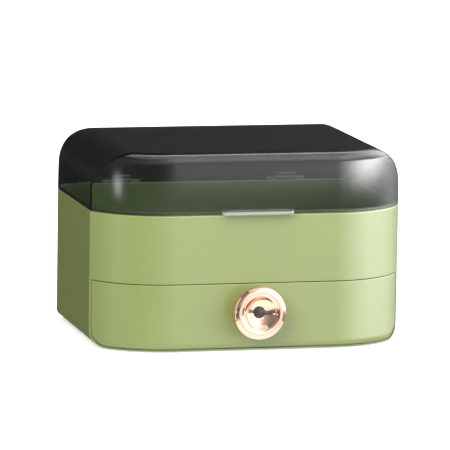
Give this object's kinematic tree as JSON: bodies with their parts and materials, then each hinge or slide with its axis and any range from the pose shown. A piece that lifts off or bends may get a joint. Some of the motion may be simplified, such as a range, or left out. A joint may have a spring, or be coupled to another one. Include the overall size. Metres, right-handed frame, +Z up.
{
  "type": "makeup organizer",
  "caption": "Rounded desktop cosmetics box: a smoky clear hinged lid over an open tray, and a full-width drawer below it with a round flared knob.",
  "frame": {"origin": "on the ground under the middle of the overall box, knob and hinges included", "axes": "+X to the right, +Y to the back (hinges), +Z up; the drawer opens towards -Y"},
  "size_m": [0.26, 0.2084, 0.162],
  "materials": {
    "body_plastic": "satin moulded ABS, soft sage green",
    "smoky_clear_plastic": "polished clear moulding with a grey smoke tint",
    "rose_gold_plate": "mirror-bright rose gold plating",
    "dark_rubber": "soft matte rubber",
    "screw_steel": "zinc-bright steel",
    "runner_nylon": "plain off-white nylon"
  },
  "bodies": {
    "body": {"casing": "body_plastic", "upper_tray": "body_plastic", "tray_screws": "screw_steel", "runner_left": "runner_nylon", "runner_right": "runner_nylon", "bumper_left": "dark_rubber", "bumper_right": "dark_rubber", "hinge_pin_left": "screw_steel", "hinge_pin_right": "screw_steel", "foot_front_left": "dark_rubber", "foot_front_right": "dark_rubber", "foot_back_left": "dark_rubber", "foot_back_right": "dark_rubber"},
    "lid": {"lid": "smoky_clear_plastic"},
    "drawer": {"drawer_box": "body_plastic", "drawer_front": "body_plastic", "front_screws": "screw_steel", "knob": "rose_gold_plate", "knob_plug": "dark_rubber", "knob_screw": "screw_steel", "knob_washer": "screw_steel"}
  },
  "joints": [
    {"name": "lid_hinge", "type": "hinge", "parent": "body", "child": "lid", "pos_m": [0, 0.09864, 0.1117], "axis": [-1, 0, 0], "range_deg": [0, 105]},
    {"name": "drawer_slide", "type": "slide", "parent": "body", "child": "drawer", "axis": [0, -1, 0], "range_m": [0, 0.1]}
  ]
}
